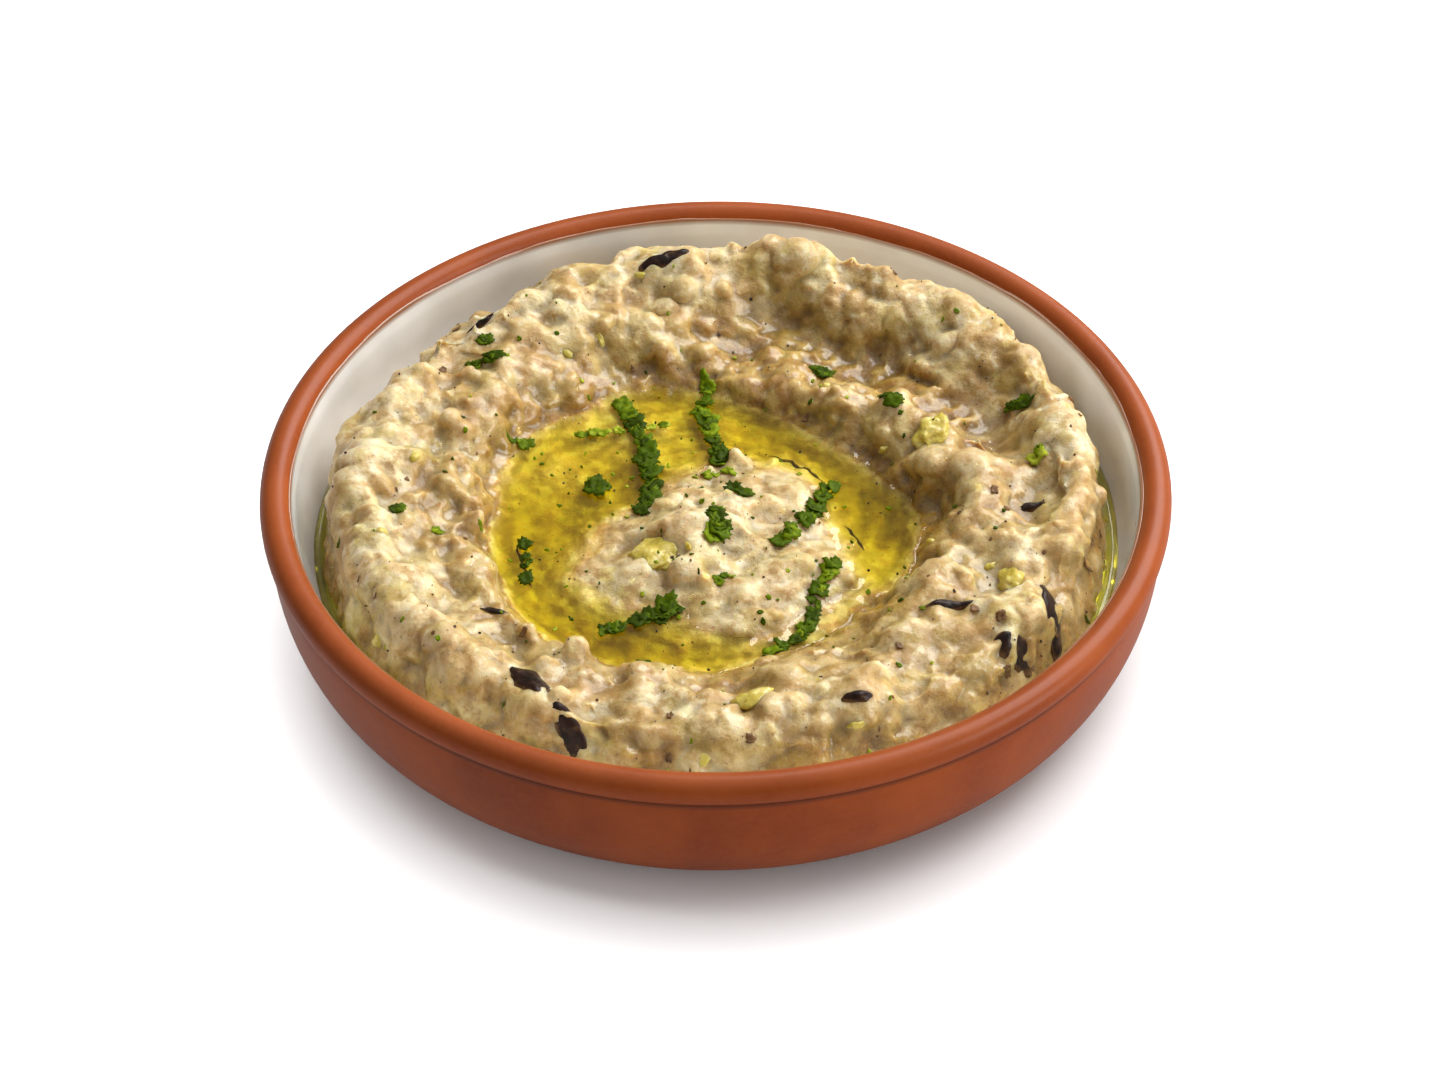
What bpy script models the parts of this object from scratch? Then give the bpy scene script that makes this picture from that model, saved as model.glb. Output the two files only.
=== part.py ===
"""Baba ganoush served in its dish.

A shallow earthenware dish with a rolled lip holds a chunky aubergine dip. The dip is piled up round
the wall, spooned into a spiral groove and hollowed in the middle, where a low island rises out of a
pool of olive oil. Scraps of charred skin and soft chunks of aubergine lie on top.

Metres, +Z up. The origin is the centre of the dish's base.
"""

import math
from itertools import pairwise

import bmesh
import bpy
from mathutils import Vector, noise
from mathutils.bvhtree import BVHTree

MM = 0.001

DISH_SEGMENTS = 64           # facets round a turned piece, a multiple of four
DIP_SEGMENTS = 80
GAP = 0.3 * MM               # clearance between pieces that touch
MERGE = 0.01 * MM            # closes the pole of a turned piece

# Dish
LIP_RADIUS = 2.65 * MM       # rolled bead of the lip
LIP_CENTRE_R = 77.35 * MM    # so the dish is 160 mm across
LIP_CENTRE_Z = 32.35 * MM    # and 35 mm high
FOOT_RADIUS = 50.0 * MM
FOOT_WIDTH = 6.0 * MM
FOOT_RECESS = 1.2 * MM
OUTER_SPREAD = 29.0 * MM     # how far the outer wall leans out beyond the foot
OUTER_RISE = 32.0 * MM
OUTER_POWER = 0.65           # below 1 the wall turns upright early, with a full belly
OUTER_TOP = 0.98             # share of the quarter turn that shows below the bead
INNER_FLAT = 46.0 * MM       # radius of the nearly flat floor inside
INNER_SPREAD = 28.4 * MM
INNER_FLOOR = 6.0 * MM
INNER_RISE = 27.5 * MM
INNER_POWER = 0.85
FILLED_POINTS = 5            # profile points inside, up to the edge of the dip
BARE_SHARES = (0.4, 0.85)    # and on the way from there to the lip
OUTER_POINTS = 6             # profile facets down the outside
LIP_POINTS = 8               # facets round the bead, 30 degrees each

# Dip: rim of the mound where it meets the wall
EDGE_HEIGHT = 19.0 * MM
SHOULDER_POWER = 2.6         # how squarely the mound drops to the wall
BLANK_TOP = 30.0 * MM        # flat top of the turned blank before it is shaped
TOP_RINGS = 21

# Dip: radii and heights in mm every 30 degrees, from +X towards +Y (the back)
CREST_RADIUS = (62, 64, 64, 61, 59, 61, 63, 62.5, 61, 61, 60.5, 61)
CREST_HEIGHT = (34.0, 35.2, 36.4, 36.8, 36.0, 35.0, 34.0, 32.8, 32.2, 32.4, 32.8, 33.4)
GROOVE_RADIUS = (56, 51, 45.5, 46, 53, 54, 55, 55.5, 55.5, 55, 54, 54)
GROOVE_HEIGHT = (30.2, 27.2, 25.6, 27.4, 33.6, 33.2, 32.6, 31.6, 31.2, 31.6, 31.8, 31.6)
RIDGE_RADIUS = (46.5, 39.5, 32.5, 35.5, 47, 48, 47.5, 49, 50, 49, 47, 46)
RIDGE_HEIGHT = (32.0, 31.2, 28.8, 26.6, 32.2, 32.0, 31.4, 31.0, 30.4, 30.6, 31.0, 31.6)
SHORE_RADIUS = (35.0, 27.8, 27.2, 32.0, 39.5, 41.0, 39.5, 42.8, 43.2, 42.3, 39.5, 38.5)
BASIN_HEIGHT = (20.4, 20.4, 21.0, 22.0, 22.4, 22.2, 21.6, 20.6, 21.0, 21.6, 23.8, 21.4)
BANK_SHARE = 0.6             # part of the bank that stands above the oil

# Island in the pool
ISLAND_X = 1.0 * MM
ISLAND_Y = -9.0 * MM
ISLAND_RISE = 4.4 * MM
ISLAND_POWER = 2.4
ISLAND_SHORE = (23, 21, 24, 24, 21, 20.5, 26, 26, 24, 23, 27, 27)

# Spoon-sized unevenness
LUMP_SIZE = 7.0 * MM
LUMP_HEIGHT = 1.1 * MM
LUMP_FADE = 3.5 * MM         # lumps fade out over this much height above the oil
EDGE_FADE = 4.0 * MM         # and over this much width beside the wall

# Olive oil
OIL_LEVEL = 24.0 * MM
OIL_REACH = 46.0 * MM        # past the far bank of the pool
OIL_DEPTH = 6.0 * MM         # past its bed
OIL_SEGMENTS = 64

# Scraps that lie on the dip: x, y, length, width and height in mm, and turn in degrees
CHARRED_SKIN = (
    (-31.0, -51.0, 11.5, 6.0, 1.4, -56.0),
    (-24.3, -60.0, 8.5, 4.4, 1.3, -46.0),
    (39.6, -32.8, 9.0, 3.0, 1.2, 10.0),
    (56.8, -32.0, 10.5, 4.6, 1.4, -82.0),
    (50.0, -42.0, 7.5, 4.8, 1.3, 12.0),
    (23.5, -57.5, 6.0, 3.0, 1.1, 0.0),
    (-9.3, 58.6, 10.5, 5.0, 1.4, 18.0),
    (-37.6, -31.4, 6.0, 2.2, 1.0, -18.0),
    (55.2, -4.4, 4.5, 3.0, 1.0, 10.0),
    (-42.8, 45.0, 7.0, 2.2, 1.0, 35.0),
)
AUBERGINE_CHUNKS = (
    (-10.5, -14.0, 11.0, 9.0, 2.6, 35.0),
    (50.8, -26.0, 6.5, 4.8, 2.4, -70.0),
    (38.8, 13.5, 7.5, 5.5, 2.4, 50.0),
    (5.6, -56.0, 7.0, 5.0, 2.2, 10.0),
)
SCRAP_SEGMENTS = 12
RAY_TOP = 60.0 * MM          # above everything
SCRAP_LIFT = 0.5 * MM        # above the dip's facets, which bulge between a scrap's own points
SCRAP_EDGE = 0.35            # share of a scrap's height that is left at its rim


def clear_scene():
    for item in list(bpy.data.objects):
        bpy.data.objects.remove(item, do_unlink=True)


def make_collection(name):
    collection = bpy.data.collections.new(name)
    bpy.context.scene.collection.children.link(collection)
    return collection


def make_material(name, colour, roughness, transmission=0.0):
    material = bpy.data.materials.new(name)
    material.use_nodes = True
    shader = material.node_tree.nodes["Principled BSDF"]
    shader.inputs["Base Color"].default_value = (*colour, 1.0)
    shader.inputs["Roughness"].default_value = roughness
    shader.inputs["Metallic"].default_value = 0.0
    shader.inputs["Transmission Weight"].default_value = transmission
    return material


def add_object(name, mesh, material, collection):
    item = bpy.data.objects.new(name, mesh)
    mesh.materials.append(material)
    collection.objects.link(item)
    return item


def turned(name, profile, segments, material, collection):
    """A piece turned round Z from (radius, height) points that start and end on the axis."""
    mesh = bpy.data.meshes.new(name)
    mesh.from_pydata(
        [(radius, 0.0, height) for radius, height in profile],
        [(index, index + 1) for index in range(len(profile) - 1)],
        [],
    )
    item = add_object(name, mesh, material, collection)
    screw = item.modifiers.new("turn", "SCREW")
    screw.axis = "Z"
    screw.steps = segments
    screw.render_steps = segments
    screw.use_merge_vertices = True
    screw.merge_threshold = MERGE
    screw.use_smooth_shade = True
    return item


def outer_wall(share):
    """A point of the outer wall, from the foot at 0 to the lip at 1."""
    turn = share * math.pi / 2
    radius = FOOT_RADIUS + OUTER_SPREAD * math.sin(turn)
    height = OUTER_RISE * (1 - max(math.cos(turn), 0.0) ** OUTER_POWER)
    return radius, height


def inner_radius(height):
    """Radius of the dish's inside at one height above its floor."""
    rise = min(max((height - INNER_FLOOR) / INNER_RISE, 0.0), 1.0)
    cosine = (1 - rise) ** (1 / INNER_POWER)
    return INNER_FLAT + INNER_SPREAD * math.sqrt(1 - cosine * cosine)


def filled_wall():
    """Points up the dish's inside, from the edge of its floor to the top of the dip's edge."""
    points = []
    for index in range(FILLED_POINTS):
        share = index / (FILLED_POINTS - 1)
        height = INNER_FLOOR + (EDGE_HEIGHT - INNER_FLOOR) * share * share
        points.append((inner_radius(height), height))
    return points


def dish_profile():
    """From the middle of the floor inside, up over the lip and down the outer wall to the base."""
    profile = [(0.0, INNER_FLOOR)] + filled_wall()
    for share in BARE_SHARES:
        height = EDGE_HEIGHT + (LIP_CENTRE_Z - EDGE_HEIGHT) * share
        profile.append((inner_radius(height), height))
    for index in range(LIP_POINTS + 1):
        turn = math.pi * (1.0 - index / 6)
        profile.append((
            LIP_CENTRE_R + LIP_RADIUS * math.cos(turn),
            LIP_CENTRE_Z + LIP_RADIUS * math.sin(turn),
        ))
    for index in range(OUTER_POINTS, -1, -1):
        profile.append(outer_wall(OUTER_TOP * index / OUTER_POINTS))
    profile.append((FOOT_RADIUS - FOOT_WIDTH, 0.0))
    profile.append((FOOT_RADIUS - FOOT_WIDTH - FOOT_RECESS, FOOT_RECESS))
    profile.append((0.0, FOOT_RECESS))
    return profile


def around(values, angle):
    """A smooth closed curve through evenly spaced values in mm, read at one angle."""
    place = angle / math.tau % 1.0 * len(values)
    index = int(place)
    share = place - index
    before, here, after, beyond = (
        values[(index + step) % len(values)] for step in (-1, 0, 1, 2)
    )
    slope = after - before
    curve = 2 * before - 5 * here + 4 * after - beyond
    bend = 3 * (here - after) + beyond - before
    return MM * (here + 0.5 * share * (slope + share * (curve + share * bend)))


def ease(share):
    """An S-curve from 0 to 1."""
    share = min(max(share, 0.0), 1.0)
    return share * share * (3 - 2 * share)


def ring_height(radius, angle):
    """The piled ring: shoulder, crest, spiral groove, inner ridge and the bank of the pool."""
    crest = around(CREST_RADIUS, angle), around(CREST_HEIGHT, angle)
    if radius >= crest[0]:
        share = (radius - crest[0]) / (DIP_RADIUS - crest[0])
        return crest[1] - (crest[1] - EDGE_HEIGHT) * min(share, 1.0) ** SHOULDER_POWER
    groove = around(GROOVE_RADIUS, angle), around(GROOVE_HEIGHT, angle)
    ridge = around(RIDGE_RADIUS, angle), around(RIDGE_HEIGHT, angle)
    bank_width = (ridge[0] - around(SHORE_RADIUS, angle)) / BANK_SHARE
    basin = ridge[0] - bank_width, around(BASIN_HEIGHT, angle)
    for (outer_r, outer_z), (inner_r, inner_z) in pairwise((crest, groove, ridge, basin)):
        if radius >= inner_r:
            share = (radius - inner_r) / (outer_r - inner_r)
            return inner_z + (outer_z - inner_z) * ease(share)
    return basin[1]


def island_height(x, y):
    """A low dome whose waterline follows ISLAND_SHORE."""
    across = x - ISLAND_X
    along = y - ISLAND_Y
    share = math.hypot(across, along) / around(ISLAND_SHORE, math.atan2(along, across))
    return OIL_LEVEL + ISLAND_RISE * (1 - share ** ISLAND_POWER)


def soft_maximum(first, second, blend=1.0 * MM):
    """The higher of two heights, with the corner between them rounded."""
    overlap = max(blend - abs(first - second), 0.0) / blend
    return max(first, second) + overlap * overlap * blend / 4


def dip_height(x, y):
    radius = math.hypot(x, y)
    height = soft_maximum(ring_height(radius, math.atan2(y, x)), island_height(x, y))
    lump = noise.noise(Vector((x, y, 0.0)) / LUMP_SIZE)
    dry = ease((height - OIL_LEVEL) / LUMP_FADE)
    inside = ease((DIP_RADIUS - radius) / EDGE_FADE)
    return height + 2 * LUMP_HEIGHT * lump * dry * inside


def dip_normal(x, y):
    """The way the dip's surface faces, from the slopes across one lump."""
    reach = LUMP_SIZE / 2
    slope_x = (dip_height(x + reach, y) - dip_height(x - reach, y)) / LUMP_SIZE
    slope_y = (dip_height(x, y + reach) - dip_height(x, y - reach)) / LUMP_SIZE
    return Vector((-slope_x, -slope_y, 1.0)).normalized()


DIP_RADIUS = inner_radius(EDGE_HEIGHT) - GAP


def make_dip(material, collection):
    """A turned blank that fills the dish, with its top pushed into shape."""
    profile = [(DIP_RADIUS * index / TOP_RINGS, BLANK_TOP) for index in range(TOP_RINGS)]
    profile.append((DIP_RADIUS, EDGE_HEIGHT))
    for radius, height in reversed(filled_wall()[:-1]):
        profile.append((radius - GAP, height + GAP))
    profile.append((0.0, INNER_FLOOR + GAP))
    blank = turned("dip_blank", profile, DIP_SEGMENTS, material, collection)
    depsgraph = bpy.context.evaluated_depsgraph_get()
    mesh = bpy.data.meshes.new_from_object(blank.evaluated_get(depsgraph))
    bpy.data.objects.remove(blank, do_unlink=True)
    for vertex in mesh.vertices:
        if vertex.co.z > BLANK_TOP - MERGE:
            vertex.co.z = dip_height(vertex.co.x, vertex.co.y)
    dip = bpy.data.objects.new("dip", mesh)
    collection.objects.link(dip)
    return dip


def make_oil(dip, material, collection, cutters):
    """A disc of oil, less all that the dip fills."""
    bpy.ops.mesh.primitive_cylinder_add(
        vertices=OIL_SEGMENTS,
        radius=OIL_REACH,
        depth=OIL_DEPTH,
        location=(0.0, 0.0, OIL_LEVEL - OIL_DEPTH / 2),
    )
    oil = bpy.context.object
    oil.name = "olive_oil"
    oil.data.materials.append(material)
    for owner in oil.users_collection:
        owner.objects.unlink(oil)
    collection.objects.link(oil)

    cutter = bpy.data.objects.new("dip_cutter", dip.data)
    cutter.location.z = GAP
    cutter.hide_render = True
    cutter.display_type = "WIRE"
    cutters.objects.link(cutter)
    cut = oil.modifiers.new("bed", "BOOLEAN")
    cut.operation = "DIFFERENCE"
    cut.object = cutter


def make_scrap(name, place, rings, surface, material, collection):
    """A domed scrap whose underside follows the dip, a hair above it."""
    x, y, length, width, rise, turn = place
    heading = math.radians(turn)
    shape = bmesh.new()
    layers = []
    for above in (0, 1):
        loops = []
        for ring in range(rings + 1):
            share = ring / rings
            thickness = rise * MM * (SCRAP_EDGE + (1 - SCRAP_EDGE) * math.sqrt(1 - share * share))
            loop = []
            for index in range(SCRAP_SEGMENTS if ring else 1):
                angle = math.tau * index / SCRAP_SEGMENTS
                along = share * length / 2 * MM * math.cos(angle)
                aside = share * width / 2 * MM * math.sin(angle)
                px = x * MM + along * math.cos(heading) - aside * math.sin(heading)
                py = y * MM + along * math.sin(heading) + aside * math.cos(heading)
                foot = surface.ray_cast(Vector((px, py, RAY_TOP)), Vector((0.0, 0.0, -1.0)))[0]
                lift = SCRAP_LIFT + above * thickness
                loop.append(shape.verts.new(foot + dip_normal(px, py) * lift))
            loops.append(loop)
        layers.append(loops)
    for loops in layers:
        for index in range(SCRAP_SEGMENTS):
            after = (index + 1) % SCRAP_SEGMENTS
            shape.faces.new((loops[0][0], loops[1][index], loops[1][after]))
            for inner, outer in pairwise(loops[1:]):
                shape.faces.new((inner[index], outer[index], outer[after], inner[after]))
    for index in range(SCRAP_SEGMENTS):
        after = (index + 1) % SCRAP_SEGMENTS
        low, high = layers[0][-1], layers[1][-1]
        shape.faces.new((low[index], low[after], high[after], high[index]))
    bmesh.ops.recalc_face_normals(shape, faces=shape.faces)
    mesh = bpy.data.meshes.new(name)
    shape.to_mesh(mesh)
    shape.free()
    add_object(name, mesh, material, collection)


def shade_smooth(item, limit):
    item.data.shade_smooth()
    item.data.set_sharp_from_angle(angle=math.radians(limit))


def main():
    clear_scene()
    collection = make_collection("baba_ganoush")
    cutters = make_collection("cutters")
    earthenware = make_material("earthenware", (0.42, 0.13, 0.055), 0.38)
    puree = make_material("aubergine_puree", (0.66, 0.49, 0.27), 0.42)
    oil = make_material("olive_oil", (0.62, 0.47, 0.06), 0.05, transmission=1.0)
    skin = make_material("charred_skin", (0.035, 0.02, 0.018), 0.3)
    flesh = make_material("soft_aubergine", (0.5, 0.42, 0.1), 0.3)

    turned("dish", dish_profile(), DISH_SEGMENTS, earthenware, collection)
    dip = make_dip(puree, collection)
    make_oil(dip, oil, collection, cutters)

    shape = bmesh.new()
    shape.from_mesh(dip.data)
    surface = BVHTree.FromBMesh(shape)
    for index, place in enumerate(CHARRED_SKIN, start=1):
        make_scrap(f"charred_skin_{index}", place, 2, surface, skin, collection)
    for index, place in enumerate(AUBERGINE_CHUNKS, start=1):
        make_scrap(f"aubergine_chunk_{index}", place, 3, surface, flesh, collection)
    shape.free()

    for item in collection.objects:
        if not item.modifiers:
            shade_smooth(item, 40)


main()
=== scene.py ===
"""Looks of a dish of baba ganoush: glazed earthenware, chunky aubergine dip, a pool of olive oil,
chopped parsley, scraps of charred skin, soft chunks of aubergine and ground pepper.

Metres, +Z up, the origin at the middle of the dish's base; the camera looks along +Y.
"""

import math
from contextlib import contextmanager

import bmesh
import bpy
import numpy as np
from mathutils import Matrix, Vector, noise
from mathutils.bvhtree import BVHTree
from mathutils.kdtree import KDTree


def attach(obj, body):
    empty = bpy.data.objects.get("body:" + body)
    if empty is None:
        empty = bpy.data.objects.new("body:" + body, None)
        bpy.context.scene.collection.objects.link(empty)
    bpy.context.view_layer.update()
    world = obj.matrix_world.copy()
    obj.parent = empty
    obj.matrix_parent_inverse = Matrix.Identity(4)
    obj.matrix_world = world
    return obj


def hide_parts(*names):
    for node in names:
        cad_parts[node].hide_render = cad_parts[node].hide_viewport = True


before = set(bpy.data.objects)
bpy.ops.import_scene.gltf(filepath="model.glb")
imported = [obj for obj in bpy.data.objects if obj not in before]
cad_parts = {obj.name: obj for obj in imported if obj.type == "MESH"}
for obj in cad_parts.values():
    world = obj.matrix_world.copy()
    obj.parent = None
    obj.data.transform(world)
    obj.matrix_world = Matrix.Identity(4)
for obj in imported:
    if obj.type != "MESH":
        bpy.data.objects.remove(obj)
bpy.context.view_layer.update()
noise.seed_set(4)            # noise_vector takes its seed from the clock otherwise

MM = 0.001
BODY = "root"

# Dish, as the solids have it
LIP_RADIUS = 2.65 * MM
LIP_CENTRE_R = 77.35 * MM
LIP_CENTRE_Z = 32.35 * MM
FOOT_RADIUS = 50.0 * MM
FOOT_WIDTH = 6.0 * MM
FOOT_RECESS = 1.2 * MM
OUTER_SPREAD = 29.0 * MM
OUTER_RISE = 32.0 * MM
OUTER_POWER = 0.65
INNER_FLAT = 46.0 * MM
INNER_SPREAD = 28.4 * MM
INNER_FLOOR = 6.0 * MM
INNER_RISE = 27.5 * MM
INNER_POWER = 0.85
DISH_SEGMENTS = 288
WALL_TOP = LIP_CENTRE_Z - LIP_RADIUS / 2        # where the inner wall runs into the lip
GLAZE = 0.28 * MM            # thickness of the cream glaze
GLAZE_INSIDE = 0.3 * MM      # how far it reaches into the dish's body
GLAZE_BOTTOM = 11.0 * MM     # it ends here, under the dip

# Dip
OIL_LEVEL = 24.0 * MM
ABOVE_ALL = 60.0 * MM        # heights are felt for from here
DIP_CUT = 16.0 * MM          # the lumpy skin ends here, and a plain underside follows
UNDERSIDE_HEIGHTS = (12.0 * MM, 9.0 * MM, 7.2 * MM, 6.4 * MM)
UNDERSIDE_GAP = 0.6 * MM     # between the underside and the dish
DIP_VOXEL = 0.47 * MM        # grid on which the solid and its lumps are blended
DIP_FACES = 195_000
DIP_ROUNDS = 4               # how often the blended lumps are smoothed
DIP_CLEARANCE = 0.05 * MM    # between the lumps and the glaze
LUMPS = (
    # count, smallest and largest radius in mm, how far they stand out, ball subdivisions
    (170, 2.4, 4.6, 0.0, 2),
    (260, 1.3, 2.3, 0.06, 2),
    (420, 0.7, 1.2, 0.2, 1),
)
SWELLS = ((14.0, 4.2), (5.5, 1.4), (2.6, 0.5), (1.3, 0.24), (0.7, 0.12))    # wave and height, mm
CLODS = ((5.2, 0.8), (2.7, 0.36), (1.5, 0.22))      # wave and height of the rounded lumps, mm
DIP_SINK = 0.6 * MM          # the skin starts this far inside, so that the lumps bring it level
DIP_SOFTENING = 3            # smoothing after the clods are pushed out

# Pool: a grid of cells on the dip
POOL_STEP = 0.55 * MM
POOL_REACH = 50.0 * MM
POOL_CLIMB = 0.7 * MM        # how far over its level the oil wets the dip
POOL_SINK = 0.6 * MM         # how far its underside reaches into the dip

# Scraps of skin and soft chunks: x, y, length, width, height in mm and turn in degrees
SKINS = (
    (-31.0, -51.0, 11.5, 6.0, 1.4, -56.0),
    (-24.3, -60.0, 8.5, 4.4, 1.3, -46.0),
    (39.6, -32.8, 9.0, 3.0, 1.2, 10.0),
    (56.8, -32.0, 10.5, 4.6, 1.4, -82.0),
    (50.0, -42.0, 7.5, 4.8, 1.3, 12.0),
    (23.5, -57.5, 6.0, 3.0, 1.1, 0.0),
    (-9.3, 58.6, 10.5, 5.0, 1.4, 18.0),
    (-37.6, -31.4, 6.0, 2.2, 1.0, -18.0),
    (55.2, -4.4, 4.5, 3.0, 1.0, 10.0),
    (-42.8, 45.0, 7.0, 2.2, 1.0, 35.0),
)
CHUNKS = (
    (-10.5, -14.0, 11.0, 9.0, 2.6, 35.0),
    (50.8, -26.0, 6.5, 4.8, 2.4, -70.0),
    (38.8, 13.5, 7.5, 5.5, 2.4, 50.0),
    (5.6, -56.0, 7.0, 5.0, 2.2, 10.0),
)

# Thin dark threads of skin in the dip round the pool: half a thread's width and the paths, in mm
THREAD_HALF_WIDTH = 0.42
THREADS = (
    ((9.5, 16.3), (13.4, 14.0), (16.3, 11.7), (19.3, 8.7)),
    ((-34.9, -6.3), (-34.2, -10.5), (-33.2, -14.2), (-32.4, -17.9)),
    ((22.9, -3.1), (24.7, -6.4), (26.0, -9.6)),
)

# How many small things are scattered
BITS = 16                    # of flesh
CRUMBS = 64                  # of charred skin
FLECKS = 190                 # of parsley
GRAINS = 520                 # of pepper
DROPS = 90                   # of oil

LEAF_CROWDING = 1.5          # leaves laid for each one that a sprig's row names

# Parsley: a path in mm, the size of its leaves in mm, how many, and how pale they are
SPRIGS = (
    (((-16.3, 30.0), (-14.0, 23.0), (-12.2, 15.5), (-11.0, 7.0), (-13.5, -1.0)), 2.8, 19, 0.1),
    (((-0.6, 35.5), (-2.1, 30.0), (-0.6, 21.0), (1.2, 12.0)), 2.4, 16, 0.3),
    (((-25.0, 21.5), (-17.0, 22.5), (-8.0, 24.0)), 1.4, 9, 0.7),
    (((21.0, 7.0), (17.6, -1.0), (14.8, -6.5), (9.8, -12.0)), 2.2, 14, 0.3),
    (((21.5, -14.5), (17.6, -23.0), (16.4, -29.0), (13.4, -34.0), (9.0, -36.5)), 2.1, 16, 0.3),
    (((-7.5, -25.0), (-10.5, -27.5), (-14.0, -29.0)), 2.7, 8, 0.0),
    (((-19.5, -31.5), (-16.5, -30.0)), 2.0, 4, 0.1),
    (((-33.7, -7.0), (-33.5, -12.0), (-32.4, -18.0)), 1.7, 6, 0.0),
    (((-21.6, 6.0), (-21.2, 5.0)), 2.9, 3, 0.2),
    (((0.6, -7.5), (0.0, -12.0)), 2.5, 6, 0.2),
    (((3.5, 2.5), (5.6, 2.0)), 2.2, 3, 0.0),
    (((-13.5, -40.0), (-11.0, -40.5)), 1.8, 3, 0.1),
    (((-0.5, -20.5), (3.0, -19.5)), 1.5, 3, 0.4),
    (((-4.0, 8.5), (4.0, 9.5)), 1.3, 4, 0.7),
    (((-45.5, 32.6), (-40.5, 32.9)), 2.1, 5, 0.1),
    (((-43.6, 39.0), (-41.5, 39.8)), 1.7, 2, 0.2),
    (((19.0, 37.6), (20.0, 35.4)), 2.7, 4, 0.0),
    (((31.8, 21.8), (33.2, 20.2)), 2.2, 2, 0.1),
    (((53.0, 23.6), (57.0, 22.4)), 2.1, 4, 0.2),
    (((-55.9, -8.1), (-55.3, -8.8)), 1.8, 2, 0.1),
    (((-48.9, -10.5), (-48.3, -11.2)), 1.7, 2, 0.5),
    (((-36.5, 18.0), (-34.0, 19.0)), 1.8, 3, 0.3),
    (((56.8, 6.9), (57.5, 5.9)), 2.1, 2, 0.8),
)

# Studio: the point that the camera and the lights are aimed at, and how the camera stands
AIM = Vector((0.7 * MM, 0.0, 17.2 * MM))
FLOOR_SIZE = 6.0
CAMERA_LENS = 89.4
CAMERA_DISTANCE = 0.640
CAMERA_ELEVATION = 41.4
CAMERA_ROLL = -0.4
SOFTBOXES = (
    # azimuth, elevation, distance, size and power, and what alone is lit or left out
    ("key", 42.0, 46.0, 1.0, 0.85, 15.6, "floor", "EXCLUDE"),
    ("side", 112.0, 22.0, 1.0, 0.5, 4.8, "floor", "EXCLUDE"),
    ("left", 275.0, 40.0, 1.0, 0.6, 4.5, "glaze", "INCLUDE"),
    ("overhead", 18.0, 75.0, 1.3, 1.8, 46.0, "floor", "INCLUDE"),
    ("front", 180.0, 38.0, 1.3, 1.6, 8.5, "floor", "INCLUDE"),
)


# ---------------------------------------------------------------- meshes

def mesh_object(name, points, faces):
    """A new object from point and face arrays."""
    mesh = bpy.data.meshes.new(name)
    mesh.from_pydata(points, [], faces)
    mesh.validate()
    mesh.shade_smooth()
    item = bpy.data.objects.new(name, mesh)
    bpy.context.scene.collection.objects.link(item)
    return item


@contextmanager
def editing(mesh):
    """Opens a mesh for editing and writes it back."""
    shape = bmesh.new()
    shape.from_mesh(mesh)
    yield shape
    shape.to_mesh(mesh)
    shape.free()


def make_outward(mesh):
    with editing(mesh) as shape:
        bmesh.ops.recalc_face_normals(shape, faces=shape.faces)


def points_of(mesh):
    points = np.empty(len(mesh.vertices) * 3, np.float32)
    mesh.vertices.foreach_get("co", points)
    return points.reshape(-1, 3).astype(float)


def set_points(mesh, points):
    mesh.vertices.foreach_set("co", np.asarray(points, np.float32).ravel())
    mesh.update()


def triangles_of(mesh):
    mesh.calc_loop_triangles()
    corners = np.empty(len(mesh.loop_triangles) * 3, np.int32)
    mesh.loop_triangles.foreach_get("vertices", corners)
    return corners.reshape(-1, 3)


def normals_of(mesh):
    """Each point's normal, summed in a fixed order so that every run gives the same one."""
    points, corners = points_of(mesh), triangles_of(mesh)
    first, second, third = (points[corners[:, side]] for side in range(3))
    cross = np.cross(second - first, third - first)
    normals = np.zeros_like(points)
    for axis in range(3):
        for side in range(3):
            normals[:, axis] += np.bincount(corners[:, side], cross[:, axis], len(points))
    return normals / np.maximum(np.linalg.norm(normals, axis=1), 1e-15)[:, None]


def put_in_order(mesh):
    """Lists the triangles from the lowest corner up, since a cut leaves them in a chance order."""
    points, corners = points_of(mesh), triangles_of(mesh)
    turns = (corners.argmin(axis=1)[:, None] + np.arange(3)) % 3
    corners = np.take_along_axis(corners, turns, axis=1)
    corners = corners[np.lexsort(corners.T[::-1])]
    mesh.clear_geometry()
    mesh.from_pydata(points.tolist(), [], corners.tolist())
    mesh.update()


def edges_of(mesh):
    ends = np.empty(len(mesh.edges) * 2, np.int32)
    mesh.edges.foreach_get("vertices", ends)
    return ends.reshape(-1, 2)


def with_modifiers(item):
    """Replaces an object's mesh by what its modifiers make of it."""
    depsgraph = bpy.context.evaluated_depsgraph_get()
    mesh = bpy.data.meshes.new_from_object(item.evaluated_get(depsgraph))
    old = item.data
    item.modifiers.clear()
    item.data = mesh
    bpy.data.meshes.remove(old)


def neighbour_means(values, edges):
    """The mean of each point's neighbours' values."""
    count = len(values)
    degree = np.bincount(edges.ravel(), minlength=count)
    means = np.empty_like(values)
    for axis in range(values.shape[1]):
        column = values[:, axis]
        total = np.bincount(edges[:, 0], weights=column[edges[:, 1]], minlength=count)
        total += np.bincount(edges[:, 1], weights=column[edges[:, 0]], minlength=count)
        means[:, axis] = total / np.maximum(degree, 1)
    return means


def relaxed(values, edges, rounds):
    """Values moved halfway to their neighbours' mean, a number of times."""
    for _ in range(rounds):
        values = values + 0.5 * (neighbour_means(values, edges) - values)
    return values


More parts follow.
